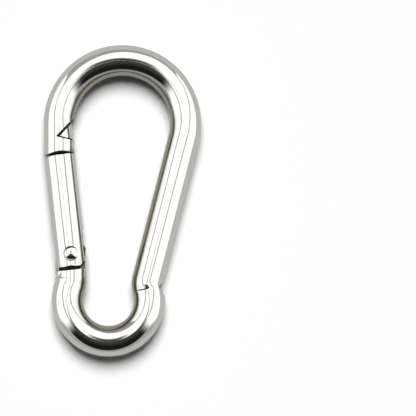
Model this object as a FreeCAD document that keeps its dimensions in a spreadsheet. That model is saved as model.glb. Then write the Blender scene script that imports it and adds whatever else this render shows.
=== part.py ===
import FreeCAD, Part
import math
import os
import Sketcher
from FreeCAD import Placement, Rotation, Vector

# A spring snap hook bent from one round rod. It lies flat in the XY plane with
# its length along Y, the wide bow at +Y, the small eye at -Y and the gate on the
# left. Z is up through the rod. Its pieces are the bent rod, the sprung gate,
# the rivet that the gate turns on, and the plunger and spring inside the gate.

os.makedirs("parts", exist_ok=True)
doc = FreeCAD.newDocument("snap_hook")

# Driving sizes, in millimetres, with the slopes of latch and tenon in degrees
SIZES = {
    "hook_length": 80.0,
    "hook_width": 40.4,
    "rod_diameter": 8.0,
    "eye_bore": 13.1,
    "eye_offset": 3.6,
    "leg_inset": 2.12,
    "jog_radius": 4.3,
    "neck_inset": 0.88,
    "pivot_shift": 0.15,
    "pivot_rise": 12.03,
    "gate_diameter": 8.0,
    "nose_drop": 7.77,
    "gate_tail": 3.3,
    "tail_chamfer": 1.6,
    "rim_bevel": 0.3,
    "pin_set": 0.35,
    "joint_gap": 0.3,
    "nose_round": 0.65,
    "latch_above": 4.75,
    "latch_set": -0.25,
    "latch_steep": 40.7,
    "latch_shallow": 19.6,
    "latch_play": 1.0,
    "tongue_thickness": 2.4,
    "tongue_play": 0.3,
    "tenon_thickness": 3.0,
    "slot_play": 0.1,
    "slot_rise": 5.9,
    "shoulder_gap": 0.85,
    "cam_throw": 0.7,
    "tenon_bevel": 43.3,
    "tenon_slope": 20.0,
    "pin_diameter": 2.4,
    "pin_fit": 0.02,
    "pin_running": 0.05,
    "head_diameter": 3.0,
    "head_height": 0.36,
    "head_rim": 0.1,
    "seat_diameter": 4.4,
    "seat_height": 3.6,
    "bore_share": 0.67,
    "bore_diameter": 3.2,
    "plunger_play": 0.1,
    "plunger_length": 3.2,
    "stem_diameter": 1.6,
    "stem_length": 1.6,
    "plunger_gap": 0.03,
    "spring_wire": 0.4,
    "spring_play": 0.15,
    "spring_turns": 5.5,
    "spring_seat": 0.02,
    "crease_depth": 1.03,
    "crease_drop": 0.83,
    "crease_above": 1.05,
    "crease_flare": 0.78,
    "crease_below": 2.15,
    "crease_bulge": 1.35,
}
sheet = doc.addObject("Spreadsheet::Sheet", "Sizes")
for row, (alias, size) in enumerate(SIZES.items(), start=1):
    sheet.set(f"A{row}", alias)
    sheet.set(f"B{row}", str(size))
    sheet.setAlias(f"B{row}", alias)
doc.recompute()


def size(text):
    """The value of an expression of the sheet's sizes."""
    return float(sheet.evalExpression(text))


# Places that follow from the driving sizes: the middles of the two round ends,
# the pivot, and the gate's own frame, whose v runs across it and u along it.
ROD = size("rod_diameter") / 2
BOW_RADIUS = size("hook_width") / 2 - ROD
BOW = Vector(0, size("hook_length") / 2 - ROD - BOW_RADIUS, 0)
EYE_RADIUS = size("eye_bore") / 2 + ROD
EYE = Vector(-size("eye_offset"), EYE_RADIUS + ROD - size("hook_length") / 2, 0)
NECK_X = EYE.x - EYE_RADIUS + size("neck_inset")
PIVOT = Vector(NECK_X + size("pivot_shift"), EYE.y + size("pivot_rise"), 0)
REACH_UP = BOW.y - size("nose_drop") - PIVOT.y
TO_NOSE = math.acos((BOW_RADIUS + PIVOT.x) / REACH_UP)
LEAN = 90 - math.degrees(TO_NOSE + math.asin(size("pin_set") / REACH_UP))
ACROSS = Vector(math.cos(math.radians(LEAN)), math.sin(math.radians(LEAN)), 0)
ALONG = Vector(-ACROSS.y, ACROSS.x, 0)
GATE_ROOT = PIVOT - ACROSS * size("pin_set")
MIDDLE = Vector(0, 0, ROD)

# The leg touches the bow and cuts into the eye's circle by its inset
INSET = size("leg_inset")
LEG_LEAN = math.asin((BOW_RADIUS - EYE_RADIUS + INSET) / (BOW - EYE).Length)
LEG_LEAN = LEG_LEAN + math.atan2(BOW.x - EYE.x, BOW.y - EYE.y)
LEG_OUT = Vector(math.cos(LEG_LEAN), -math.sin(LEG_LEAN), 0)
LEG_UP = Vector(math.sin(LEG_LEAN), math.cos(LEG_LEAN), 0)

# The gate reaches from the pivot to the nose's end, and the latch lies above it
REACH = "( hook_length - ( hook_width + eye_bore ) / 2 - rod_diameter - pivot_rise - nose_drop )"
LATCH = f"( {REACH} + latch_above )"

# The spring's bore takes up a share of the solid bar above the slot
BORE_DEPTH = f"( bore_share * ( {REACH} - slot_rise ) )"


def jog_centre():
    """The middle of the bend between the leg and the eye."""
    jog = size("jog_radius")
    reach = EYE_RADIUS - INSET + jog
    rise = math.sqrt((EYE_RADIUS + jog) ** 2 - reach ** 2)
    return EYE + LEG_OUT * reach + LEG_UP * rise


def neck_centre():
    """The middle of the bend between the eye and the neck below the gate."""
    jog = size("jog_radius")
    reach = NECK_X - jog - EYE.x
    return EYE + Vector(reach, math.sqrt((EYE_RADIUS + jog) ** 2 - reach ** 2), 0)


JOG = jog_centre()
NECK = neck_centre()


def new_body(name):
    body = doc.addObject("PartDesign::Body", name)
    body.Label = name
    return body


def new_sketch(body, role, name, base=Vector(0, 0, 0), turn=0.0):
    """A sketch on one of the body's own planes, moved and turned within it."""
    sketch = body.newObject("Sketcher::SketchObject", name)
    planes = [plane for plane in body.Origin.OriginFeatures if plane.Role == role]
    sketch.AttachmentSupport = [(planes[0], "")]
    sketch.MapMode = "FlatFace"
    sketch.AttachmentOffset = Placement(base, Rotation(Vector(0, 0, 1), turn))
    return sketch


def bound(text):
    """The same expression with the sheet's name before each size."""
    return " ".join(f"Sizes.{word}" if word in SIZES else word for word in text.split())


def bind(sketch, kind, *items):
    """Adds a constraint whose last item is an expression of the sheet's sizes."""
    text = items[-1]
    index = sketch.addConstraint(Sketcher.Constraint(kind, *items[:-1], size(text)))
    sketch.setExpression(f"Constraints[{index}]", bound(text))


def pin_point(sketch, geometry, position, x_text, y_text):
    bind(sketch, "DistanceX", -1, 1, geometry, position, x_text)
    bind(sketch, "DistanceY", -1, 1, geometry, position, y_text)


def circle(sketch, x_text, y_text, radius_text):
    centre = Vector(size(x_text), size(y_text), 0)
    index = sketch.addGeometry(Part.Circle(centre, Vector(0, 0, 1), size(radius_text)))
    pin_point(sketch, index, 3, x_text, y_text)
    bind(sketch, "Radius", index, radius_text)


def outline(sketch, points, arcs=None):
    """A closed outline through points given as expressions. An entry of arcs,
    keyed by the number of its first point, gives the centre of a curved side,
    which goes the short way round."""
    arcs = arcs or {}
    spots = [Vector(size(x), size(y), 0) for x, y in points]
    sides = []
    for number, start in enumerate(spots):
        end = spots[(number + 1) % len(spots)]
        if number in arcs:
            middle = Vector(size(arcs[number][0]), size(arcs[number][1]), 0)
            radius = (start - middle).Length
            begin = math.atan2(start.y - middle.y, start.x - middle.x)
            finish = math.atan2(end.y - middle.y, end.x - middle.x)
            ring = Part.Circle(middle, Vector(0, 0, 1), radius)
            if (finish - begin) % (2 * math.pi) < math.pi:
                index = sketch.addGeometry(Part.ArcOfCircle(ring, begin, finish))
                sides.append((index, 1, 2))
            else:
                index = sketch.addGeometry(Part.ArcOfCircle(ring, finish, begin))
                sides.append((index, 2, 1))
        else:
            index = sketch.addGeometry(Part.LineSegment(start, end))
            sides.append((index, 1, 2))
    for number, (index, _, tail) in enumerate(sides):
        follower, head, _ = sides[(number + 1) % len(sides)]
        sketch.addConstraint(Sketcher.Constraint("Coincident", index, tail, follower, head))
    for number, (index, head, _) in enumerate(sides):
        if (number - 1) % len(sides) in arcs:
            bind(sketch, "DistanceX", -1, 1, index, head, points[number][0])
            continue
        pin_point(sketch, index, head, *points[number])
        if number in arcs:
            pin_point(sketch, index, 3, *arcs[number])


def cut(body, sketch, name, length=None, symmetric=False, reverse=False):
    """A pocket that has to take material away."""
    before = body.Shape.Volume
    pocket = body.newObject("PartDesign::Pocket", name)
    pocket.Profile = sketch
    if length is None:
        pocket.Type = "ThroughAll"
    else:
        pocket.Type = "Length"
        pocket.setExpression("Length", length)
    if symmetric:
        pocket.SideType = "Symmetric"
    pocket.Reversed = reverse
    doc.recompute()
    if body.Shape.Volume > before - 1e-6:
        raise ValueError(f"{name} cuts nothing")
    return pocket


def pad(body, sketch, name, length, symmetric=False):
    feature = body.newObject("PartDesign::Pad", name)
    feature.Profile = sketch
    feature.setExpression("Length", length)
    if symmetric:
        feature.SideType = "Symmetric"
    doc.recompute()
    return feature


def soften(body, kind, name, base, width, wanted):
    """Rounds or bevels the edges of the base feature that the test picks."""
    edges = base.Shape.Edges
    names = [f"Edge{number}" for number, edge in enumerate(edges, start=1) if wanted(edge)]
    if not names:
        raise ValueError(f"{name} finds no edge")
    feature = body.newObject(kind, name)
    feature.Base = (base, names)
    feature.setExpression(*width)
    doc.recompute()


# Bent rod: nose, bow, leg, eye and neck in one sweep of the round section, then
# the nose's end, its latch notch and slit, and the flat tenon under the gate.
def rod_path(body):
    sketch = new_sketch(body, "XY_Plane", "rod_path", MIDDLE)
    leg_top = BOW + LEG_OUT * BOW_RADIUS
    leg_end = JOG - LEG_OUT * size("jog_radius")
    eye_in = EYE + (JOG - EYE).normalize() * EYE_RADIUS
    eye_out = EYE + (NECK - EYE).normalize() * EYE_RADIUS
    neck = Vector(NECK_X, NECK.y, 0)
    nose = Vector(-BOW_RADIUS, PIVOT.y + REACH_UP - ROD / 2, 0)

    def arc(middle, start, end):
        begin = math.atan2(start.y - middle.y, start.x - middle.x)
        finish = math.atan2(end.y - middle.y, end.x - middle.x)
        ring = Part.Circle(middle, Vector(0, 0, 1), (start - middle).Length)
        return sketch.addGeometry(Part.ArcOfCircle(ring, begin, finish))

    nose_line = sketch.addGeometry(Part.LineSegment(nose, Vector(-BOW_RADIUS, BOW.y, 0)))
    bow = arc(BOW, leg_top, Vector(-BOW_RADIUS, BOW.y, 0))
    leg = sketch.addGeometry(Part.LineSegment(leg_top, leg_end))
    jog = arc(JOG, leg_end, eye_in)
    eye = arc(EYE, eye_out, eye_in)
    bend = arc(NECK, eye_out, neck)
    stem = sketch.addGeometry(Part.LineSegment(neck, Vector(NECK_X, PIVOT.y + ROD, 0)))
    joints = (
        (nose_line, 2, bow, 2),
        (bow, 1, leg, 1),
        (leg, 2, jog, 1),
        (jog, 2, eye, 2),
        (eye, 1, bend, 1),
        (bend, 2, stem, 1),
    )
    for joint in joints:
        sketch.addConstraint(Sketcher.Constraint("Tangent", *joint))
    sketch.addConstraint(Sketcher.Constraint("Vertical", nose_line))
    sketch.addConstraint(Sketcher.Constraint("Vertical", stem))
    bow_radius = "( hook_width - rod_diameter ) / 2"
    eye_radius = "( eye_bore + rod_diameter ) / 2"
    eye_height = "( eye_bore - hook_length ) / 2 + rod_diameter"
    sketch.addConstraint(Sketcher.Constraint("PointOnObject", bow, 3, -2))
    bind(sketch, "DistanceY", -1, 1, bow, 3, "( hook_length - hook_width ) / 2")
    bind(sketch, "Radius", bow, bow_radius)
    bind(sketch, "DistanceX", -1, 1, eye, 3, "0 - eye_offset")
    bind(sketch, "DistanceY", -1, 1, eye, 3, eye_height)
    bind(sketch, "Radius", eye, eye_radius)
    bind(sketch, "Radius", jog, "jog_radius")
    bind(sketch, "Radius", bend, "jog_radius")
    bind(sketch, "Distance", eye, 3, leg, f"{eye_radius} - leg_inset")
    bind(sketch, "DistanceX", -1, 1, stem, 2, f"0 - eye_offset - {eye_radius} + neck_inset")
    bind(sketch, "DistanceY", -1, 1, stem, 2, f"{eye_height} + pivot_rise + rod_diameter / 2")
    bind(sketch, "DistanceY", -1, 1, nose_line, 1, f"{eye_height} + pivot_rise + {REACH} - rod_diameter / 4")
    return sketch


def make_frame():
    body = new_body("frame")
    path = rod_path(body)
    section = new_sketch(body, "XZ_Plane", "rod_section",
                         Vector(-BOW_RADIUS, ROD, -(PIVOT.y + REACH_UP - ROD / 2)))
    circle(section, "0", "0", "rod_diameter / 2")
    rod = body.newObject("PartDesign::AdditivePipe", "rod")
    rod.Profile = section
    rod.Spine = path
    doc.recompute()

    # The nose ends in an arc about the pivot, so that the gate swings past it
    nose_end = new_sketch(body, "XY_Plane", "nose_end", PIVOT + MIDDLE, LEAN)
    nose_side = f"sqrt( ( {REACH} + joint_gap ) ^ 2 - rod_diameter ^ 2 )"
    outline(nose_end,
            [("0 - rod_diameter", f"{REACH} - rod_diameter / 2"),
             ("rod_diameter", f"{REACH} - rod_diameter / 2"),
             ("rod_diameter", nose_side),
             ("0 - rod_diameter", nose_side)],
            {2: ("0", "0")})
    nose_cut = cut(body, nose_end, "nose_end_cut", symmetric=True)
    height = PIVOT.y + REACH_UP

    def at_nose_end(edge):
        box = edge.BoundBox
        return box.YMin > height - ROD and box.YMax < height + ROD and box.XMax < BOW.x - 2 * ROD
    soften(body, "PartDesign::Fillet", "nose_rim", nose_cut, ("Radius", "Sizes.nose_round"), at_nose_end)

    # Latch notch in the nose's inner half, and the slit that the tongue lies in
    notch = new_sketch(body, "XY_Plane", "latch_notch", GATE_ROOT + MIDDLE, LEAN)
    outline(notch,
            [("latch_set", LATCH),
             ("rod_diameter", f"{LATCH} - ( rod_diameter - latch_set ) * tan( latch_shallow * 1deg )"),
             ("rod_diameter", f"{LATCH} + ( rod_diameter - latch_set ) * tan( latch_steep * 1deg )")])
    cut(body, notch, "latch_notch_cut", symmetric=True)
    slit = new_sketch(body, "XY_Plane", "tongue_slit", GATE_ROOT + MIDDLE, LEAN)
    outline(slit,
            [("latch_set", f"{REACH} - rod_diameter / 2"),
             ("rod_diameter", f"{REACH} - rod_diameter / 2"),
             ("rod_diameter", LATCH),
             ("latch_set", LATCH)])
    cut(body, slit, "tongue_slit_cut", "Sizes.tongue_thickness + 2 * Sizes.tongue_play", symmetric=True)

    # Flats on both faces of the rod's other end, up to a shoulder below the gate
    for side, name in ((1, "front_flat"), (-1, "back_flat")):
        height = side * size("tenon_thickness") / 2
        flat = new_sketch(body, "XY_Plane", name, GATE_ROOT + MIDDLE + Vector(0, 0, height), LEAN)
        outline(flat,
                [("0 - rod_diameter", "0 - gate_tail - shoulder_gap"),
                 ("rod_diameter", "0 - gate_tail - shoulder_gap"),
                 ("rod_diameter", "rod_diameter"),
                 ("0 - rod_diameter", "rod_diameter")])
        cut(body, flat, name + "_cut", reverse=side > 0)

    # Bevel and rounded cam end of the tenon, set to the inner side of the pivot
    cam_x = f"cam_throw * {ACROSS.x}"
    cam_y = f"cam_throw * {ACROSS.y}"
    cam = f"( rod_diameter / 2 - pivot_shift - {cam_x} )"
    bevel = ("sin( tenon_bevel * 1deg )", "cos( tenon_bevel * 1deg )")
    slope = ("sin( tenon_slope * 1deg )", "cos( tenon_slope * 1deg )")
    left = f"{cam_x} - {cam} * {bevel[0]} - rod_diameter * {bevel[1]}"
    right = f"{cam_x} + {cam} * {slope[1]} + rod_diameter / 2 * {slope[0]}"
    end = new_sketch(body, "XY_Plane", "tenon_end", PIVOT + MIDDLE)
    outline(end,
            [(left, f"{cam_y} + {cam} * {bevel[1]} - rod_diameter * {bevel[0]}"),
             (f"{cam_x} - {cam} * {bevel[0]}", f"{cam_y} + {cam} * {bevel[1]}"),
             (f"{cam_x} + {cam} * {slope[1]}", f"{cam_y} + {cam} * {slope[0]}"),
             (right, f"{cam_y} + {cam} * {slope[0]} - rod_diameter / 2 * {slope[1]}"),
             (right, "rod_diameter"),
             (left, "rod_diameter")],
            {1: (cam_x, cam_y)})
    cut(body, end, "tenon_end_cut", symmetric=True)
    hole = new_sketch(body, "XY_Plane", "tenon_hole", PIVOT + MIDDLE)
    circle(hole, "0", "0", "pin_diameter / 2 + pin_running")
    cut(body, hole, "tenon_hole_cut", symmetric=True)

    # Crease that the bending tool leaves on the outside between leg and eye
    crease = new_sketch(body, "XY_Plane", "bend_crease", JOG + MIDDLE)
    outline(crease,
            [("0 - crease_depth", "0 - crease_drop"),
             ("3 / 2 * crease_bulge - crease_depth", "0 - crease_drop - 3 / 2 * crease_below"),
             ("rod_diameter / 2", "0 - crease_drop - 3 / 2 * crease_below"),
             ("rod_diameter / 2", "2 * crease_above - crease_drop"),
             ("2 * crease_flare - crease_depth", "2 * crease_above - crease_drop")])
    cut(body, crease, "bend_crease_cut", symmetric=True)
    return body


# Gate: a round bar in its own frame, X across and Z along it, with the slot and
# the blind bore at the tail and the tongue with its wedge head at the top.
def make_gate():
    body = new_body("gate")
    section = new_sketch(body, "XY_Plane", "bar_section", Vector(0, 0, -size("gate_tail")))
    circle(section, "0", "0", "gate_diameter / 2")
    head_top = f"{LATCH} + ( gate_diameter / 2 - latch_set - latch_play ) * tan( latch_steep * 1deg )"
    bar = pad(body, section, "bar", bound(f"gate_tail + {head_top} + gate_diameter / 8"))
    soften(body, "PartDesign::Chamfer", "tail_rim", bar, ("Size", "Sizes.rim_bevel"),
           lambda edge: edge.BoundBox.ZMax < 0)

    # Everything above the arc of the top end but the tongue and the wedge head
    head_left = "latch_set + latch_play"
    above = new_sketch(body, "XZ_Plane", "top_end")
    far = "gate_diameter"
    outline(above,
            [(f"0 - {far}", f"sqrt( {REACH} ^ 2 - ( {far} + pin_set ) ^ 2 )"),
             (f"0 - {far}", f"{head_top} + {far}"),
             (far, f"{head_top} + {far}"),
             (far, f"{LATCH} + ( {far} - latch_set - latch_play ) * tan( latch_steep * 1deg )"),
             (head_left, LATCH),
             (head_left, f"sqrt( {REACH} ^ 2 - ( {head_left} - pin_set ) ^ 2 )")],
            {5: ("pin_set", "0")})
    cut(body, above, "top_end_cut", symmetric=True)
    for side, name in ((1, "front_of_tongue"), (-1, "back_of_tongue")):
        offset = Vector(0, 0, side * size("tongue_thickness") / 2)
        beside = new_sketch(body, "XZ_Plane", name, offset)
        foot = f"sqrt( {REACH} ^ 2 - {{}} ^ 2 )"
        outline(beside,
                [("0 - gate_diameter / 4", foot.format("( gate_diameter / 4 + pin_set )")),
                 ("0 - gate_diameter / 4", LATCH),
                 (head_left, LATCH),
                 (far, f"{LATCH} - ( {far} - latch_set - latch_play ) * tan( latch_shallow * 1deg )"),
                 (far, foot.format(f"( {far} - pin_set )"))],
                {4: ("pin_set", "0")})
        cut(body, beside, name + "_cut", reverse=side > 0)

    # Slot for the tenon and the blind bore for the plunger and spring
    slot = new_sketch(body, "XZ_Plane", "tenon_slot")
    outline(slot,
            [("0 - gate_diameter", "0 - gate_diameter"),
             ("gate_diameter", "0 - gate_diameter"),
             ("gate_diameter", "slot_rise"),
             ("0 - gate_diameter", "slot_rise")])
    cut(body, slot, "tenon_slot_cut", "Sizes.tenon_thickness + 2 * Sizes.slot_play", symmetric=True)
    bore = new_sketch(body, "XY_Plane", "spring_bore", Vector(0, 0, size("slot_rise") - ROD / 2))
    circle(bore, "0", "0", "bore_diameter / 2")
    cut(body, bore, "spring_bore_cut", bound(f"{BORE_DEPTH} + rod_diameter / 4"), reverse=True)

    # Pin hole with a flat seat for each rivet head, and the chamfered inner corner
    hole = new_sketch(body, "XZ_Plane", "pin_hole")
    circle(hole, "pin_set", "0", "pin_diameter / 2 + pin_fit")
    cut(body, hole, "pin_hole_cut", symmetric=True)
    for side, name in ((1, "front_seat"), (-1, "back_seat")):
        seat = new_sketch(body, "XZ_Plane", name, Vector(0, 0, side * size("seat_height")))
        circle(seat, "pin_set", "0", "seat_diameter / 2")
        cut(body, seat, name + "_cut", reverse=side > 0)
    corner = new_sketch(body, "XZ_Plane", "tail_corner")
    outline(corner,
            [("gate_diameter / 2 - tail_chamfer", "0 - gate_tail"),
             ("gate_diameter / 2 - tail_chamfer", "0 - gate_tail - tail_chamfer"),
             ("gate_diameter / 2 + tail_chamfer", "0 - gate_tail - tail_chamfer"),
             ("gate_diameter / 2 + tail_chamfer", "2 * tail_chamfer - gate_tail")])
    cut(body, corner, "tail_corner_cut", symmetric=True)
    body.Placement = gate_place(Vector(0, 0, 0))
    return body


def gate_place(offset):
    """The place of a piece made in the gate's frame, moved within that frame."""
    turn = Rotation(ACROSS, Vector(0, 0, -1), ALONG, "ZXY")
    return Placement(GATE_ROOT + MIDDLE + turn.multVec(offset), turn)


# Rivet: a plain shank with a low domed head on each end
def make_hinge_pin():
    body = new_body("hinge_pin")
    sketch = new_sketch(body, "XZ_Plane", "rivet_section")
    crown = "seat_height + head_height"
    rise = "( head_height - head_rim )"
    dome = f"( ( head_diameter / 2 ) ^ 2 + {rise} ^ 2 ) / ( 2 * {rise} )"
    outline(sketch,
            [("0", f"0 - ( {crown} )"),
             ("0", crown),
             ("head_diameter / 2", "seat_height + head_rim"),
             ("head_diameter / 2", "seat_height"),
             ("pin_diameter / 2", "seat_height"),
             ("pin_diameter / 2", "0 - seat_height"),
             ("head_diameter / 2", "0 - seat_height"),
             ("head_diameter / 2", "0 - seat_height - head_rim")],
            {1: ("0", f"{crown} - {dome}"), 7: ("0", f"{dome} - ( {crown} )")})
    rivet = body.newObject("PartDesign::Revolution", "rivet")
    rivet.Profile = sketch
    rivet.ReferenceAxis = (sketch, ["V_Axis"])
    rivet.Angle = 360
    doc.recompute()
    body.Placement = Placement(PIVOT + MIDDLE, Rotation())
    return body


# Plunger: a turned pin that the spring holds against the tenon's cam end
def make_plunger():
    body = new_body("plunger")
    wide = new_sketch(body, "XY_Plane", "plunger_section")
    circle(wide, "0", "0", "bore_diameter / 2 - plunger_play")
    pad(body, wide, "plunger_body", "Sizes.plunger_length")
    narrow = new_sketch(body, "XY_Plane", "stem_section")
    circle(narrow, "0", "0", "stem_diameter / 2")
    pad(body, narrow, "plunger_stem", "Sizes.plunger_length + Sizes.stem_length")
    body.Placement = gate_place(Vector(0, 0, PLUNGER_FOOT))
    return body


# Spring: a helix of square wire between the plunger's shoulder and the bore's end
def make_spring():
    body = new_body("return_spring")
    wire = new_sketch(body, "XZ_Plane", "spring_section")
    outer = "bore_diameter / 2 - spring_play"
    outline(wire,
            [(f"{outer} - spring_wire", "0"),
             (outer, "0"),
             (outer, "spring_wire"),
             (f"{outer} - spring_wire", "spring_wire")])
    helix = body.newObject("PartDesign::AdditiveHelix", "spring_helix")
    helix.Profile = wire
    helix.ReferenceAxis = (wire, ["V_Axis"])
    helix.Mode = "height-turns-angle"
    helix.Height = SPRING_ROOM - size("spring_wire")
    helix.setExpression("Turns", "Sizes.spring_turns")
    doc.recompute()
    foot = PLUNGER_FOOT + size("plunger_length") + size("spring_seat")
    body.Placement = gate_place(Vector(0, 0, foot))
    return body


CAM_RADIUS = ROD - size("pivot_shift") - size("cam_throw") * ACROSS.x
PLUNGER_FOOT = CAM_RADIUS + size("plunger_gap")
SPRING_ROOM = size(f"slot_rise + {BORE_DEPTH} - plunger_length - 2 * spring_seat") - PLUNGER_FOOT
nodes = [make_frame(), make_gate(), make_hinge_pin(), make_plunger(), make_spring()]
doc.recompute()

for item in doc.Objects:
    if "Invalid" in item.State or "Error" in item.State:
        raise ValueError(f"{item.Label} failed: {item.State}")
for node in nodes:
    shape = node.Shape
    if shape.isNull() or not shape.isValid() or len(shape.Solids) != 1:
        raise ValueError(f"{node.Label} is not one valid solid")
    print(node.Label, round(shape.Volume, 2), [round(n, 2) for n in (
        shape.BoundBox.XMin, shape.BoundBox.XMax, shape.BoundBox.YMin,
        shape.BoundBox.YMax, shape.BoundBox.ZMin, shape.BoundBox.ZMax)])
    shape.exportStep(f"parts/{node.Label}.step")
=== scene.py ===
import math

import bmesh
import bpy
from mathutils import Matrix, Vector
from mathutils.kdtree import KDTree


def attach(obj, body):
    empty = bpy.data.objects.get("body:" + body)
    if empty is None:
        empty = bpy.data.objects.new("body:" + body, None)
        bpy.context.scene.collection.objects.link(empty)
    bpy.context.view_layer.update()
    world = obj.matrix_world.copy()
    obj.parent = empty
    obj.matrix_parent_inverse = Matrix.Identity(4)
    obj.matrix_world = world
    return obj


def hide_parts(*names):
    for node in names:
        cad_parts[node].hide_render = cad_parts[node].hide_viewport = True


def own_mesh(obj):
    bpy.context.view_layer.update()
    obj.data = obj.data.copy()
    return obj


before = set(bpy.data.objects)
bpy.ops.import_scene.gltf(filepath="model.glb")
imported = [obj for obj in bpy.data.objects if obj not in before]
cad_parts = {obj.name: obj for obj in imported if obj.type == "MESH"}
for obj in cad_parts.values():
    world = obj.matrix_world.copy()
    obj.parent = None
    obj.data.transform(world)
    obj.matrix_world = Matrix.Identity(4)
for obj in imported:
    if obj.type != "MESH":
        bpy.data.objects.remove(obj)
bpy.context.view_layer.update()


# Bent rod: 8 mm round stainless bar, cold bent in one piece to the nose, the
# wide bow, the leg, the eye and the neck. The nose is notched and slit for the
# gate's head, and the other end is flattened to a tenon that carries the gate.
def ring_edges(parts):
    """The edges among the parts that an operator made."""
    return [part for part in parts if isinstance(part, bmesh.types.BMEdge)]


def ring_verts(parts):
    """The points among the parts that an operator made."""
    return [part for part in parts if isinstance(part, bmesh.types.BMVert)]


def draw_out(shape, rim):
    """Draws a rim out into a new one in the same place, ready to be moved."""
    made = bmesh.ops.extrude_edge_only(shape, edges=rim)["geom"]
    return ring_edges(made), ring_verts(made)


def bend_on(shape, rim, centre, degrees, steps):
    """Carries a rim round a bend in the hook's plane and returns the new rim."""
    made = bmesh.ops.spin(shape, geom=rim, cent=(*centre, 0), axis=(0, 0, 1),
                          angle=math.radians(degrees), steps=steps,
                          use_merge=False, use_duplicate=False)
    return ring_edges(made["geom_last"])


# Points nearer than this, in mm, are one: on a worked shape, and after its cuts
SAME_SPOT = 0.0005
SAME_AFTER_CUTS = 0.004
CRISP = math.radians(28)
MM = 0.001


def as_piece(shape, name, finish):
    """Turns a worked shape, in millimetres, into an object with this finish."""
    bmesh.ops.remove_doubles(shape, verts=shape.verts, dist=SAME_SPOT)
    bmesh.ops.recalc_face_normals(shape, faces=shape.faces)
    mesh = bpy.data.meshes.new(name)
    shape.to_mesh(mesh)
    shape.free()
    mesh.materials.append(finish)
    piece = bpy.data.objects.new(name, mesh)
    bpy.context.scene.collection.objects.link(piece)
    return piece


def block(corners, low, high, place=Matrix.Identity(4), finish=None):
    """A cutter with this outline, in millimetres, between two heights. What it
    cuts is left milled and dark as painted shade, or else with the finish given."""
    shape = bmesh.new()
    base = shape.faces.new([shape.verts.new((x, y, low)) for x, y in corners])
    made = bmesh.ops.extrude_face_region(shape, geom=[base])["geom"]
    bmesh.ops.translate(shape, vec=(0, 0, high - low), verts=ring_verts(made))
    bmesh.ops.transform(shape, matrix=place, verts=shape.verts)
    return as_piece(shape, "cutter", finish or milled)


def drill(radius, low, high, place, sides=48, finish=None):
    """A round cutter along its own Z, in millimetres, between two heights. What
    it cuts is left milled and dark as painted shade, or else with the finish given."""
    shape = bmesh.new()
    bmesh.ops.create_cone(shape, cap_ends=True, segments=sides, radius1=radius, radius2=radius,
                          depth=high - low, matrix=Matrix.Translation((0, 0, (low + high) / 2)))
    bmesh.ops.transform(shape, matrix=place, verts=shape.verts)
    return as_piece(shape, "cutter", finish or milled)


def settle(piece):
    """Applies the piece's modifiers to its mesh."""
    ready = piece.evaluated_get(bpy.context.evaluated_depsgraph_get())
    mesh = bpy.data.meshes.new_from_object(ready)
    old = piece.data
    piece.modifiers.clear()
    piece.data = mesh
    mesh.name = piece.name
    bpy.data.meshes.remove(old)


def cut_away(piece, cutter):
    """Takes the cutter's shape out of the piece and removes the cutter."""
    step = piece.modifiers.new("cut", "BOOLEAN")
    step.operation = "DIFFERENCE"
    step.solver = "EXACT"
    step.material_mode = "TRANSFER"
    step.object = cutter
    settle(piece)
    spent = cutter.data
    bpy.data.objects.remove(cutter)
    bpy.data.meshes.remove(spent)


def note_section(shape, layer):
    """Where the uncut bar's points lie, each with its place in the section."""
    return [(point.co.copy(), point[layer].copy()) for point in shape.verts]


def mark_section(piece, noted):
    """Gives each point of the cut piece the place in the section of the uncut
    bar's nearest point: 1 across is the hook's inside, and -1 its outside."""
    near = KDTree(len(noted))
    for number, (spot, _) in enumerate(noted):
        near.insert(spot, number)
    near.balance()
    marks = piece.data.attributes.new("section", "FLOAT_VECTOR", "POINT")
    for point, mark in zip(piece.data.vertices, marks.data):
        mark.vector = noted[near.find(point.co)[1]][1]


def finish_steel(piece):
    """Brings the piece to metres and shades it smooth up to its crisp edges."""
    shape = bmesh.new()
    shape.from_mesh(piece.data)
    bmesh.ops.remove_doubles(shape, verts=shape.verts, dist=SAME_AFTER_CUTS)
    bmesh.ops.scale(shape, vec=(MM, MM, MM), verts=shape.verts)
    for face in shape.faces:
        face.smooth = True
    for edge in shape.edges:
        edge.smooth = len(edge.link_faces) == 2 and edge.calc_face_angle(0) < CRISP
    shape.to_mesh(piece.data)
    shape.free()


def hex_colour(text):
    """A hex colour as the eye sees it, made linear for the shader."""
    shares = [int(text[start:start + 2], 16) / 255 for start in (1, 3, 5)]
    return tuple(s / 12.92 if s <= 0.04045 else ((s + 0.055) / 1.055) ** 2.4 for s in shares) + (1.0,)


def add_node(tree, kind, values=None, links=None, **settings):
    """Adds one node, with its properties, its socket values and what feeds it."""
    node = tree.nodes.new(kind)
    for key, value in settings.items():
        setattr(node, key, value)
    for key, value in (values or {}).items():
        node.inputs[key].default_value = value
    for key, source in (links or {}).items():
        tree.links.new(source, node.inputs[key])
    return node


# Tumble-polished stainless steel: bright and mirror-like, with a grain of 0.35 mm
# from the media, the rod's drawn lines 0.12 mm apart and duller patches of 6 mm.
# Towards the hook's inside it is rougher, and darker in colour as painted shade.
polished = bpy.data.materials.new("tumble_polished_stainless_painted_inner_shade")
polished.use_nodes = True
tree = polished.node_tree
tree.nodes.clear()
spot = add_node(tree, "ShaderNodeTexCoord")
grain = add_node(tree, "ShaderNodeTexNoise", {"Scale": 1 / 0.00035, "Detail": 3.0, "Roughness": 0.6},
                 {"Vector": spot.outputs["Object"]})
dimples = add_node(tree, "ShaderNodeBump", {"Strength": 0.04, "Distance": 0.00004},
                   {"Height": grain.outputs["Fac"]})
cloud = add_node(tree, "ShaderNodeTexNoise", {"Scale": 1 / 0.006, "Detail": 2.0},
                 {"Vector": spot.outputs["Object"]})
blur = add_node(tree, "ShaderNodeMapRange",
                {"From Min": 0.3, "From Max": 0.7, "To Min": 0.04, "To Max": 0.075},
                {"Value": cloud.outputs["Fac"]})
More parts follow.
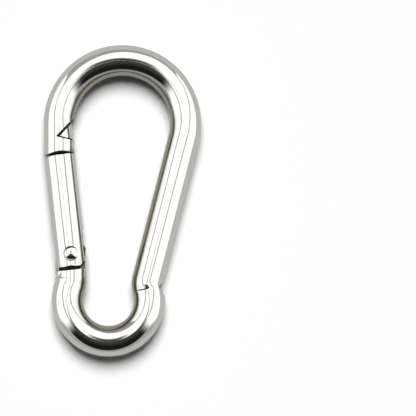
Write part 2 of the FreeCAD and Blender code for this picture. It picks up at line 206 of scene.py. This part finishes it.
# The section counts in rod radii of 4 mm, so 4 over 0.12 gives lines 0.12 mm apart
in_section = add_node(tree, "ShaderNodeAttribute", attribute_name="section")
streaks = add_node(tree, "ShaderNodeTexNoise", {"Scale": 4.0 / 0.12, "Detail": 1.0},
                   {"Vector": in_section.outputs["Vector"]})
drawn_lines = add_node(tree, "ShaderNodeBump", {"Strength": 0.09, "Distance": 0.00004},
                       {"Height": streaks.outputs["Fac"], "Normal": dimples.outputs["Normal"]})
over_bar = add_node(tree, "ShaderNodeSeparateXYZ", links={"Vector": in_section.outputs["Vector"]})
# Mask of the hook's inside: it adds roughness, and darkens the colour as painted shade of the shaded table
# and bars that the inside mirrors
inside = add_node(tree, "ShaderNodeMapRange", {"From Min": 0.5, "From Max": 0.75},
                  {"Value": over_bar.outputs["X"]}, interpolation_type="SMOOTHSTEP")
dulled = add_node(tree, "ShaderNodeMath", {1: 0.1}, {0: inside.outputs["Result"], 2: blur.outputs["Result"]},
                  operation="MULTIPLY_ADD")
# Painted shade: the base colour darkens to #85837B on the hook's inside
painted_inner_shade_tone = add_node(tree, "ShaderNodeMix", {6: hex_colour("#B6B5B1"), 7: hex_colour("#85837B")},
                {"Factor": inside.outputs["Result"]}, data_type="RGBA")
steel = add_node(tree, "ShaderNodeBsdfPrincipled", {"Metallic": 1.0, "Specular Tint": hex_colour("#E0E0DE")},
                 {"Base Color": painted_inner_shade_tone.outputs[2], "Roughness": dulled.outputs["Value"],
                  "Normal": drawn_lines.outputs["Normal"]})
add_node(tree, "ShaderNodeOutputMaterial", links={"Surface": steel.outputs["BSDF"]})

# Milled stainless steel, as the cutter left it inside the slots and notches: dull,
# with lines 0.25 mm apart, and near black as painted shade of the slots and gaps.
milled = bpy.data.materials.new("milled_stainless_painted_shade")
milled.use_nodes = True
tree = milled.node_tree
tree.nodes.clear()
spot = add_node(tree, "ShaderNodeTexCoord")
scores = add_node(tree, "ShaderNodeTexNoise", {"Scale": 1 / 0.00025, "Detail": 2.0},
                  {"Vector": spot.outputs["Object"]})
blur = add_node(tree, "ShaderNodeMapRange", {"To Min": 0.45, "To Max": 0.65},
                {"Value": scores.outputs["Fac"]})
furrows = add_node(tree, "ShaderNodeBump", {"Strength": 0.3, "Distance": 0.00004},
                   {"Height": scores.outputs["Fac"]})
# Near-black base colour: painted shade of the slots, notches and gaps, darker than milled steel itself
steel = add_node(tree, "ShaderNodeBsdfPrincipled", {"Base Color": hex_colour("#2B2926"), "Metallic": 1.0},
                 {"Roughness": blur.outputs["Result"], "Normal": furrows.outputs["Normal"]})
add_node(tree, "ShaderNodeOutputMaterial", links={"Surface": steel.outputs["BSDF"]})

# Sizes in mm and turns in degrees, from the nose along the rod to the tenon
ROD_RADIUS = 4.0
ROUND_SIDES = 96
NOSE_X = -16.2
HINGE = (-13.12, -13.42)
NOSE_REACH = 25.75
NOSE_DROP = 0.42
NOSE_RUN = 0.7
BOW_CENTRE = (0, 19.8)
BOW_TURN = -194.405
LEG_RUN = (-9.2235, -35.9109)
JOG_CENTRE = (10.632, -21.2107)
JOG_TURN = 30.992
EYE_CENTRE = (-3.6, -25.45)
EYE_TURNS = ((-8.0, 14), (-202.411, 134), (-6.0, 10))
NECK_CENTRE = (-17.57, -20.414)
NECK_TURN = 19.824
NECK_RUN = 10.994


def nose_level(x):
    """Height of the nose's end above x, an arc about the gate's hinge."""
    return HINGE[1] + math.sqrt(NOSE_REACH ** 2 - (x - HINGE[0]) ** 2)


def nose_run(across):
    """Length of the nose's rounding at this place across, least at its sides."""
    half = 3.5 if across > 0.3 else 4.4
    return max(0.08, NOSE_RUN * (1 - ((across - 0.3) / half) ** 2))


# The nose is built up ring by ring from its middle, and then its rim goes round
rod = bmesh.new()
section = rod.verts.layers.float_vector.new("section")
upright = Matrix.Translation((NOSE_X, 0, ROD_RADIUS)) @ Matrix.Rotation(math.radians(90), 4, "X")
nose_rings = [(0.8, 0), (1.7, 0), (2.6, 0), (ROD_RADIUS - NOSE_DROP, 0)]
for step in range(1, 10):
    roll = math.radians(10 * step)
    nose_rings.append((ROD_RADIUS - NOSE_DROP * (1 - math.sin(roll)), 1 - math.cos(roll)))
bmesh.ops.create_circle(rod, cap_ends=True, cap_tris=True, segments=ROUND_SIDES,
                        radius=nose_rings[0][0], matrix=upright)
rim = [edge for edge in rod.edges if edge.is_boundary]
for number, (radius, share) in enumerate(nose_rings):
    points = list(rod.verts)
    if number:
        rim, points = draw_out(rod, rim)
    for point in points:
        place = Vector((point.co.x - NOSE_X, 0, point.co.z - ROD_RADIUS))
        place = place.normalized() * radius if place.length > 0.01 else place
        x = NOSE_X + place.x
        point.co = (x, nose_level(x) + share * nose_run(place.x), ROD_RADIUS + place.z)
        point[section] = place / ROD_RADIUS
nose_faces = list(rod.faces)
rim, points = draw_out(rod, rim)
bmesh.ops.translate(rod, vec=(0, 0.2, 0), verts=points)
rim, points = draw_out(rod, rim)
for point in points:
    point.co.y = BOW_CENTRE[1]
rim = bend_on(rod, rim, BOW_CENTRE, BOW_TURN, 130)
rim, points = draw_out(rod, rim)
bmesh.ops.translate(rod, vec=(*LEG_RUN, 0), verts=points)
rim = bend_on(rod, rim, JOG_CENTRE, JOG_TURN, 24)
for turn, steps in EYE_TURNS:
    rim = bend_on(rod, rim, EYE_CENTRE, turn, steps)
rim = bend_on(rod, rim, NECK_CENTRE, NECK_TURN, 16)
rim, points = draw_out(rod, rim)
bmesh.ops.translate(rod, vec=(0, NECK_RUN, 0), verts=points)
bmesh.ops.edgeloop_fill(rod, edges=rim)
# The nose's end faces take the milled finish, dark as painted shade
for face in nose_faces:
    face.material_index = 1
noted = note_section(rod, section)
bent_rod = as_piece(rod, "bent_rod", polished)
bent_rod.data.materials.append(milled)

# The gate's own frame: across it towards the inside, and along it to its head.
# The notch in the nose and the gate's head share the latch's place and slopes.
GATE_LEAN = math.radians(6.163)
GATE_FRAME = Matrix.Translation((-13.468, -13.4576, ROD_RADIUS)) @ Matrix.Rotation(GATE_LEAN, 4, "Z")
LATCH = 30.2
STEEP = math.tan(math.radians(40.7))
SHALLOW = math.tan(math.radians(19.6))
NOTCH_SIDE = -0.25
SLIT_HALF = 1.5
PAST = 8
ABOVE = 6
NOTCH = [(NOTCH_SIDE, LATCH), (PAST, LATCH - (PAST - NOTCH_SIDE) * SHALLOW),
         (PAST, LATCH + (PAST - NOTCH_SIDE) * STEEP)]
cut_away(bent_rod, block(NOTCH, -ABOVE, ABOVE, GATE_FRAME))
cut_away(bent_rod, block([(NOTCH_SIDE, 21), (PAST, 21), (PAST, LATCH), (NOTCH_SIDE, LATCH)],
                         -SLIT_HALF, SLIT_HALF, GATE_FRAME))

# The tenon: two flats up to a shoulder, milled and dark as painted shade where the
# gate's cheeks cover them, then its end with a round cam for the plunger, and the rivet's hole
TENON_HALF = 1.5
MILLED_HALF = 1.47
SHOULDER = -4.2
CAM_CENTRE = (0.696, 0.075)
CAM_RADIUS = 3.154
HOLE_RADIUS = 1.25
for low, high in ((TENON_HALF, ABOVE), (-ABOVE, -TENON_HALF)):
    cut_away(bent_rod, block([(-PAST, SHOULDER), (PAST, SHOULDER), (PAST, PAST), (-PAST, PAST)],
                             low, high, GATE_FRAME, polished))
for low, high in ((MILLED_HALF, 3), (-3, -MILLED_HALF)):
    cut_away(bent_rod, block([(-3.2, -4.22), (2.2, -4.22), (2.45, -3.75), (4.3, -2.2), (4.3, 8), (-3.2, 8)],
                             low, high, GATE_FRAME))
HINGE_FRAME = Matrix.Translation((*HINGE, ROD_RADIUS))
tenon_end = [(-7.28, -3.13), (-1.463, 2.368)]
for turn in range(130, 19, -5):
    tenon_end.append((CAM_CENTRE[0] + CAM_RADIUS * math.cos(math.radians(turn)),
                      CAM_CENTRE[1] + CAM_RADIUS * math.sin(math.radians(turn))))
tenon_end += [(5.03, -2.6), (5.03, 8), (-7.28, 8)]
cut_away(bent_rod, block(tenon_end, -3, 3, HINGE_FRAME))
cut_away(bent_rod, drill(HOLE_RADIUS, -3, 3, HINGE_FRAME))

# The crease that the bending tool left on the outside between leg and eye
JOG_FRAME = Matrix.Translation((*JOG_CENTRE, ROD_RADIUS))
cut_away(bent_rod, block([(-1.4, -0.8), (0.995, -4.055), (4, -4.055), (4, 1.27), (0.53, 1.27)],
                         -5, 5, JOG_FRAME, polished))

# Marks that the bending left, on the front and on the back: a sharp slit and a
# dent where the leg turns into the eye, and a flat and a crease on the neck.
# Each has its outline, its place, its turn and lean in degrees and its finish; the slit's dark milled finish
# is painted shade.
SLIT = [(-0.2, 0.5), (-0.18, 0.02), (0, -0.4), (0.18, 0.02), (0.2, 0.5)]
DENT = [(0, -0.12), (1.25, 0.005), (1.25, 0.5), (-0.05, 0.5)]
FLAT = [(-1.35, 0.1), (-1.05, -0.25), (1.3, -0.25), (1.3, 0.5), (-1.35, 0.5)]
CREASE = [(-0.3, 0.02), (0, -0.16), (0.3, 0.02), (0.3, 0.5), (-0.3, 0.5)]
FOLDS = ((SLIT, (6.51, -22.44), -9.27, -22, milled),
         (DENT, (6.51, -22.4), -9.27, -6.5, polished),
         (FLAT, (-13.13, -18.5), 0, -40, polished),
         (CREASE, (-13.26, -19.08), 0, -52, polished))
FOLD_HALF = 2.0
on_edge = Matrix(((0, 0, 1, 0), (1, 0, 0, 0), (0, 1, 0, 0), (0, 0, 0, 1)))
for face in (1, -1):
    for outline, centre, turn, lean, finish in FOLDS:
        stand = Matrix.Translation((*centre, ROD_RADIUS)) @ Matrix.Diagonal((1, 1, face, 1))
        stand = stand @ Matrix.Rotation(math.radians(-turn), 4, "Z")
        stand = stand @ Matrix.Rotation(math.radians(lean), 4, "Y")
        stand = stand @ Matrix.Translation((0, 0, ROD_RADIUS)) @ on_edge
        cut_away(bent_rod, block(outline, -FOLD_HALF, FOLD_HALF, stand, finish))

# The outer side of the neck's crease
cut_away(bent_rod, block([(-16.75, -19.2), (-17.7, -18.35), (-18.6, -18.35), (-18.6, -20.2), (-17.7, -20.2)],
                         -1, 9, finish=polished))
mark_section(bent_rod, noted)
finish_steel(bent_rod)
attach(bent_rod, "frame")
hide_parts("frame")


# Gate: an 8 mm round bar with a tongue and a wedge head turned and milled on its
# top, and a slot, a rivet hole and a blind bore for the spring at its tail. Its
# sizes are in mm across and along the gate's own frame.
TAIL = -3.3
TAIL_RINGS = ((0.04, 0.08), (0.08, 0.04), (0.2, 0.0), (36.98, 0.0))
GATE_REACH = 25.45
PIN_SET = 0.35
HEAD_SIDE = 0.75
TONGUE_HALF = 1.2
SLOT_HALF = 1.6
SLOT_END = 5.9
BORE_RADIUS = 1.6
SEAT_LEVEL = 3.34
SEAT_RADIUS = 1.92


def gate_top(first, last):
    """The gate's top end from one place across to another: an arc about the
    hinge, which falls off on the outside and stands a little high inside."""
    count = round(abs(last - first) / 0.25)
    across = [first + (last - first) * number / count for number in range(count + 1)]
    return [(v, math.sqrt(GATE_REACH ** 2 - (v - PIN_SET) ** 2) - 0.045 * max(0, -1 - v) ** 2
             + min(0.15, 0.1 * max(0, v - 1))) for v in across]


bar = bmesh.new()
bmesh.ops.create_circle(bar, cap_ends=True, segments=ROUND_SIDES, radius=3.88,
                        matrix=Matrix.Translation((0, TAIL, 0)) @ Matrix.Rotation(math.radians(90), 4, "X"))
rim = [edge for edge in bar.edges if edge.is_boundary]
for rise, growth in TAIL_RINGS:
    rim, points = draw_out(bar, rim)
    bmesh.ops.translate(bar, vec=(0, rise, 0), verts=points)
    radius = math.hypot(points[0].co.x, points[0].co.z)
    bmesh.ops.scale(bar, vec=(1 + growth / radius, 1, 1 + growth / radius), verts=points)
bmesh.ops.edgeloop_fill(bar, edges=rim)
section = bar.verts.layers.float_vector.new("section")
for point in bar.verts:
    point[section] = (point.co.x / ROD_RADIUS, 0, point.co.z / ROD_RADIUS)
noted = note_section(bar, section)
gate = as_piece(bar, "sprung_gate", polished)

# The end that meets the nose, up to the steep side of the head, then the two
# cheeks beside the tongue, up to the shallow side of the head
HEAD_RUN = PAST - HEAD_SIDE
cut_away(gate, block(gate_top(HEAD_SIDE, -PAST) + [(-PAST, 41), (PAST, 41), (PAST, LATCH + HEAD_RUN * STEEP),
                                                   (HEAD_SIDE, LATCH)], -ABOVE, ABOVE))
for low, high in ((TONGUE_HALF, ABOVE), (-ABOVE, -TONGUE_HALF)):
    cut_away(gate, block(gate_top(PAST, -2) + [(-2, LATCH), (HEAD_SIDE, LATCH),
                                               (PAST, LATCH - HEAD_RUN * SHALLOW)], low, high))

# The slot over the tenon, the spring's bore, the rivet's hole with its seats,
# and the corner that is cut off the tail so that it clears the neck
cut_away(gate, block([(-PAST, -PAST), (PAST, -PAST), (PAST, SLOT_END), (-PAST, SLOT_END)],
                     -SLOT_HALF, SLOT_HALF))
cut_away(gate, drill(BORE_RADIUS, 4, 19, Matrix.Rotation(math.radians(-90), 4, "X")))
at_pin = Matrix.Translation((PIN_SET, 0, 0))
cut_away(gate, drill(1.22, -ABOVE, ABOVE, at_pin))
for low, high in ((SEAT_LEVEL, ABOVE), (-ABOVE, -SEAT_LEVEL)):
    cut_away(gate, drill(SEAT_RADIUS, low, high, at_pin, 64, polished))
cut_away(gate, block([(2.3, -3.32), (2.3, -4.9), (5.6, -4.9), (5.6, -0.6)], -ABOVE, ABOVE))
mark_section(gate, noted)
gate.data.transform(GATE_FRAME)
finish_steel(gate)
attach(gate, "gate")
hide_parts("gate")


# Rivet: a 2.4 mm stainless pin through gate and tenon, with a low dome peened
# on each end, which lies in the flat seats of the gate.
PIN_RADIUS = 1.2
HEAD_RADIUS = 1.9
DOME_TOP = 3.96
DOME_RADIUS = 3.3
pin = bmesh.new()
profile = [(0.0, DOME_TOP)]
for step in range(1, 15):
    reach = HEAD_RADIUS * step / 14
    profile.append((reach, DOME_TOP - DOME_RADIUS + math.sqrt(DOME_RADIUS ** 2 - reach ** 2)))
profile += [(HEAD_RADIUS, SEAT_LEVEL), (PIN_RADIUS, SEAT_LEVEL)]
profile += [(reach, -height) for reach, height in reversed(profile)]
line = [pin.verts.new((reach, 0, height)) for reach, height in profile]
edges = [pin.edges.new(pair) for pair in zip(line, line[1:])]
bmesh.ops.spin(pin, geom=line + edges, cent=(0, 0, 0), axis=(0, 0, 1), angle=math.tau, steps=64,
               use_merge=True, use_duplicate=False)
bmesh.ops.translate(pin, vec=(*HINGE, ROD_RADIUS), verts=pin.verts)
rivet = as_piece(pin, "hinge_rivet", polished)
finish_steel(rivet)
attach(rivet, "gate")
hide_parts("hinge_pin")


# Plunger: a small turned pin inside the gate's bore, with a narrow stem that
# keeps the spring in line. Its foot rests on the round end of the tenon.
PLUNGER_FOOT = 3.184
PLUNGER_HEAD = 3.2
turned = bmesh.new()
profile = [(0.0, 0.0), (1.35, 0.0), (1.5, 0.15), (1.5, 3.05), (1.35, PLUNGER_HEAD),
           (0.8, PLUNGER_HEAD), (0.8, 4.65), (0.65, 4.8), (0.0, 4.8)]
line = [turned.verts.new((reach, height + PLUNGER_FOOT, 0)) for reach, height in profile]
edges = [turned.edges.new(pair) for pair in zip(line, line[1:])]
bmesh.ops.spin(turned, geom=line + edges, cent=(0, 0, 0), axis=(0, 1, 0), angle=math.tau, steps=48,
               use_merge=True, use_duplicate=False)
bmesh.ops.transform(turned, matrix=GATE_FRAME, verts=turned.verts)

# Turned and drawn stainless: greyer than the polished rod, with the fine rings
# of 0.2 mm that a turning tool or a drawing die leaves.
drawn = bpy.data.materials.new("drawn_stainless")
drawn.use_nodes = True
tree = drawn.node_tree
tree.nodes.clear()
spot = add_node(tree, "ShaderNodeTexCoord")
rings = add_node(tree, "ShaderNodeTexNoise", {"Scale": 1 / 0.0002, "Detail": 2.0},
                 {"Vector": spot.outputs["Object"]})
blur = add_node(tree, "ShaderNodeMapRange", {"To Min": 0.22, "To Max": 0.38}, {"Value": rings.outputs["Fac"]})
grooves = add_node(tree, "ShaderNodeBump", {"Strength": 0.2, "Distance": 0.00003},
                   {"Height": rings.outputs["Fac"]})
steel = add_node(tree, "ShaderNodeBsdfPrincipled", {"Base Color": hex_colour("#BDBDBB"), "Metallic": 1.0},
                 {"Roughness": blur.outputs["Result"], "Normal": grooves.outputs["Normal"]})
add_node(tree, "ShaderNodeOutputMaterial", links={"Surface": steel.outputs["BSDF"]})
plunger = as_piece(turned, "spring_plunger", drawn)
finish_steel(plunger)
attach(plunger, "plunger")
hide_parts("plunger")


# Spring: five and a half turns of 0.4 mm spring wire, coiled cold, between the
# plunger's shoulder and the end of the bore.
WIRE = 0.2
COIL_RADIUS = 1.25
COIL_TURNS = 5.5
COIL_STEPS = 264
SPRING_FOOT = PLUNGER_FOOT + 3.22
SPRING_LENGTH = 12.57
coil = bmesh.new()
bmesh.ops.create_circle(coil, segments=10, radius=WIRE,
                        matrix=Matrix.Translation((COIL_RADIUS, SPRING_FOOT + WIRE, 0)))
wire_rim = list(coil.edges)
made = bmesh.ops.spin(coil, geom=wire_rim, cent=(0, 0, 0), axis=(0, 1, 0), angle=COIL_TURNS * math.tau,
                      steps=COIL_STEPS, dvec=(0, (SPRING_LENGTH - 2 * WIRE) / COIL_STEPS, 0),
                      use_merge=False, use_duplicate=False)
bmesh.ops.edgeloop_fill(coil, edges=wire_rim)
bmesh.ops.edgeloop_fill(coil, edges=ring_edges(made["geom_last"]))
bmesh.ops.transform(coil, matrix=GATE_FRAME, verts=coil.verts)
spring = as_piece(coil, "gate_spring", drawn)
finish_steel(spring)
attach(spring, "gate")
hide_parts("return_spring")
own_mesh(spring)


# Table: a sheet of matt white paper that the hook lies on. It is clear on its
# underside, so that the hook's back can be seen from below.
sheet = bmesh.new()
bmesh.ops.create_grid(sheet, x_segments=1, y_segments=1, size=2.5)
mesh = bpy.data.meshes.new("paper_table")
sheet.to_mesh(mesh)
sheet.free()
table = bpy.data.objects.new("paper_table", mesh)
bpy.context.scene.collection.objects.link(table)
paper = bpy.data.materials.new("matt_white_paper")
paper.use_nodes = True
tree = paper.node_tree
tree.nodes.clear()
sized = add_node(tree, "ShaderNodeBsdfDiffuse", {"Color": hex_colour("#F4F4F4")})
clear = add_node(tree, "ShaderNodeBsdfTransparent")
seen = add_node(tree, "ShaderNodeNewGeometry")
sheer = add_node(tree, "ShaderNodeMixShader",
                 links={"Fac": seen.outputs["Backfacing"], 1: sized.outputs["BSDF"],
                        2: clear.outputs["BSDF"]})
add_node(tree, "ShaderNodeOutputMaterial", links={"Surface": sheer.outputs["Shader"]})
table.data.materials.append(paper)


# Light tent: white sheets all round, grey cloth high at the back and low in front,
# a big soft lamp behind with a grey rim, and the dark opening that the camera looks
# in by. It is laid out flat in degrees, straight up in the middle.
tent = bpy.data.worlds.new("light_tent")
bpy.context.scene.world = tent
tent.use_nodes = True
tree = tent.node_tree
tree.nodes.clear()
spot = add_node(tree, "ShaderNodeTexCoord")
parts = add_node(tree, "ShaderNodeSeparateXYZ", links={"Vector": spot.outputs["Generated"]})
turn = add_node(tree, "ShaderNodeMath", links={0: parts.outputs["Z"]}, operation="ARCCOSINE")
angle = add_node(tree, "ShaderNodeMath", links={0: turn.outputs["Value"]}, operation="DEGREES")
level = add_node(tree, "ShaderNodeVectorMath", {1: (1, 1, 0)}, {0: spot.outputs["Generated"]},
                 operation="MULTIPLY")
heading = add_node(tree, "ShaderNodeVectorMath", links={0: level.outputs["Vector"]}, operation="NORMALIZE")
plan = add_node(tree, "ShaderNodeVectorMath",
                links={0: heading.outputs["Vector"], "Scale": angle.outputs["Value"]}, operation="SCALE")
place = add_node(tree, "ShaderNodeSeparateXYZ", links={"Vector": plan.outputs["Vector"]})
across = place.outputs["X"]
along = place.outputs["Y"]

# The cloth is a wedge that opens towards the back, and the lamp a tilted oval.
cloth_off = add_node(tree, "ShaderNodeMath", {1: 2.0}, {0: across}, operation="ADD")
cloth_aside = add_node(tree, "ShaderNodeMath", links={0: cloth_off.outputs["Value"]}, operation="ABSOLUTE")
cloth_half = add_node(tree, "ShaderNodeMath", {1: 0.62, 2: 27.0}, {0: along}, operation="MULTIPLY_ADD")
cloth = add_node(tree, "ShaderNodeMath", operation="SUBTRACT",
                 links={0: cloth_half.outputs["Value"], 1: cloth_aside.outputs["Value"]})
lamp = add_node(tree, "ShaderNodeMapping", {"Rotation": (0, 0, math.radians(20)), "Scale": (49.5, 37.1, 1),
                                            "Location": (4.5, 29.0, 0)},
                {"Vector": plan.outputs["Vector"]}, vector_type="TEXTURE")
lamp_spread = add_node(tree, "ShaderNodeVectorMath", links={0: lamp.outputs["Vector"]}, operation="LENGTH")

# The opening is narrow straight up and widens to the front, less to the back.
slope = add_node(tree, "ShaderNodeMapRange",
                 {"From Min": -0.5, "From Max": 0.5, "To Min": 1.35, "To Max": 0.55}, {"Value": along})
away = add_node(tree, "ShaderNodeMath", links={0: along}, operation="ABSOLUTE")
widening = add_node(tree, "ShaderNodeMath", operation="MULTIPLY",
                    links={0: away.outputs["Value"], 1: slope.outputs["Result"]})
mouth_half = add_node(tree, "ShaderNodeMath", {1: 0.6}, {0: widening.outputs["Value"]}, operation="MAXIMUM")
mouth_off = add_node(tree, "ShaderNodeMath", {1: 1.2}, {0: across}, operation="ADD")
mouth_aside = add_node(tree, "ShaderNodeMath", links={0: mouth_off.outputs["Value"]}, operation="ABSOLUTE")
mouth_share = add_node(tree, "ShaderNodeMath", operation="DIVIDE",
                       links={0: mouth_aside.outputs["Value"], 1: mouth_half.outputs["Value"]})
mouth_spread = add_node(tree, "ShaderNodeVectorMath", {1: (0, -25, 0)}, {0: plan.outputs["Vector"]},
                        operation="DISTANCE")

# Each part of the tent fades in between two values of its measure, in degrees
# on the plan, or in shares of the lamp's size or of the opening's half width.
FADES = (("cloth side", cloth.outputs["Value"], 0, 4),
         ("cloth foot", along, 2, 10),
         ("front", along, -24, -40),
         ("rim", lamp_spread.outputs["Value"], 1.07, 1.01),
         ("lamp", lamp_spread.outputs["Value"], 0.97, 0.91),
         ("mouth side", mouth_share.outputs["Value"], 1.4, 0.7),
         ("mouth front", mouth_spread.outputs["Value"], 50, 41),
         ("mouth back", along, 27, 10),
         ("backdrop", angle.outputs["Value"], 84, 88))
shares = {}
for part, measure, gone, whole in FADES:
    share = add_node(tree, "ShaderNodeMapRange", {"From Min": gone, "From Max": whole}, {"Value": measure},
                     interpolation_type="SMOOTHSTEP")
    shares[part] = share.outputs["Result"]
for part, first, second in (("cloth", "cloth side", "cloth foot"), ("mouth end", "mouth front", "mouth back"),
                            ("mouth", "mouth side", "mouth end")):
    both = add_node(tree, "ShaderNodeMath", links={0: shares[first], 1: shares[second]}, operation="MULTIPLY")
    shares[part] = both.outputs["Value"]
depth = add_node(tree, "ShaderNodeMapRange", {"From Max": 60.0}, {"Value": angle.outputs["Value"]})
mouth_tone = add_node(tree, "ShaderNodeValToRGB", links={"Fac": depth.outputs["Result"]})
mouth_tone.color_ramp.elements[0].color = (0.09, 0.088, 0.085, 1)
mouth_tone.color_ramp.elements[0].position = 0.25
mouth_tone.color_ramp.elements[1].color = (0.02, 0.02, 0.018, 1)
mouth_tone.color_ramp.elements[1].position = 0.6

# The parts lie over one another on the white sheet, each in its own brightness
SHEET = (2.3, 2.3, 2.3, 1)
CLOTH = (0.68, 0.68, 0.67, 1)
FRONT = (0.75, 0.75, 0.75, 1)
BACKDROP = (0.85, 0.85, 0.85, 1)
below = None
for part, glowing in (("cloth", CLOTH), ("front", FRONT), ("rim", CLOTH), ("lamp", SHEET), ("mouth", SHEET),
                      ("backdrop", BACKDROP)):
    layer = add_node(tree, "ShaderNodeMix", {6: SHEET, 7: glowing}, {"Factor": shares[part]},
                     data_type="RGBA")
    if below:
        tree.links.new(below, layer.inputs[6])
    if part == "mouth":
        tree.links.new(mouth_tone.outputs["Color"], layer.inputs[7])
    below = layer.outputs[2]
glow = add_node(tree, "ShaderNodeBackground", links={"Color": below})
add_node(tree, "ShaderNodeOutputWorld", links={"Surface": glow.outputs["Background"]})


# Lamps: the tent shows in the steel only, and two soft lamps light the table, a
# big one behind the hook, 30 degrees from straight up, and a faint one all round.
tent.cycles_visibility.diffuse = False
for name, share, spread, lean in (("lamp_behind", 1.08, 35, -30), ("light_all_round", 0.02, 180, 0)):
    light = bpy.data.lights.new(name, "SUN")
    light.angle = math.radians(spread)
    light.energy = share * math.pi / math.cos(math.radians(lean))
    lit = bpy.data.objects.new(name, light)
    lit.rotation_euler = (math.radians(lean), 0, 0)
    lit.visible_glossy = False
    bpy.context.scene.collection.objects.link(lit)


# Camera: a long lens that looks straight down on the table, with the hook in its
# left half, at 3.9 pixels to the millimetre on a picture 416 pixels wide.
PIXELS_PER_MM = 3.9
PICTURE_WIDTH = 416
LENS = 400
lens = bpy.data.cameras.new("long_lens")
lens.lens = LENS
camera = bpy.data.objects.new("camera_above", lens)
bpy.context.scene.collection.objects.link(camera)
camera.location = (0.02192, -0.00181, 0.004 + LENS * PICTURE_WIDTH / PIXELS_PER_MM / lens.sensor_width / 1000)
bpy.context.scene.camera = camera

bpy.context.scene.view_settings.view_transform = "Standard"
